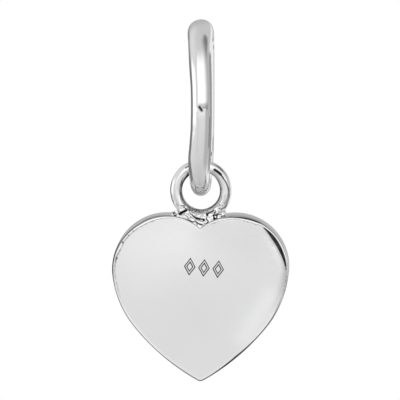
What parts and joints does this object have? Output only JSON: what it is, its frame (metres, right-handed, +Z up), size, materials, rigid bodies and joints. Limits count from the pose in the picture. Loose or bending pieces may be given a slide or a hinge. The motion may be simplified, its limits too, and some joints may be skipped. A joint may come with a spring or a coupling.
{
  "type": "heart pendant",
  "caption": "Polished heart charm with a flat back and domed front, on a soldered jump ring that swings from an oval wire bail.",
  "frame": {"origin": "where the chain sits, at the lowest point of the bail's inner top", "axes": "+Z up, away from the heart; -Y out of the heart's flat back, which the picture shows; +Y out of the domed front; the bail stands in the YZ plane"},
  "size_m": [0.01, 0.0072, 0.0203],
  "materials": {
    "bail_silver": "polished silver",
    "heart_silver": "polished silver"
  },
  "bodies": {
    "bail": {"bail": "bail_silver"},
    "heart": {"heart": "heart_silver"}
  },
  "joints": [
    {"name": "heart_swing", "type": "hinge", "parent": "bail", "child": "heart", "pos_m": [0, 0, -0.00791], "axis": [0, 1, 0], "range_deg": [-90, 90]}
  ]
}
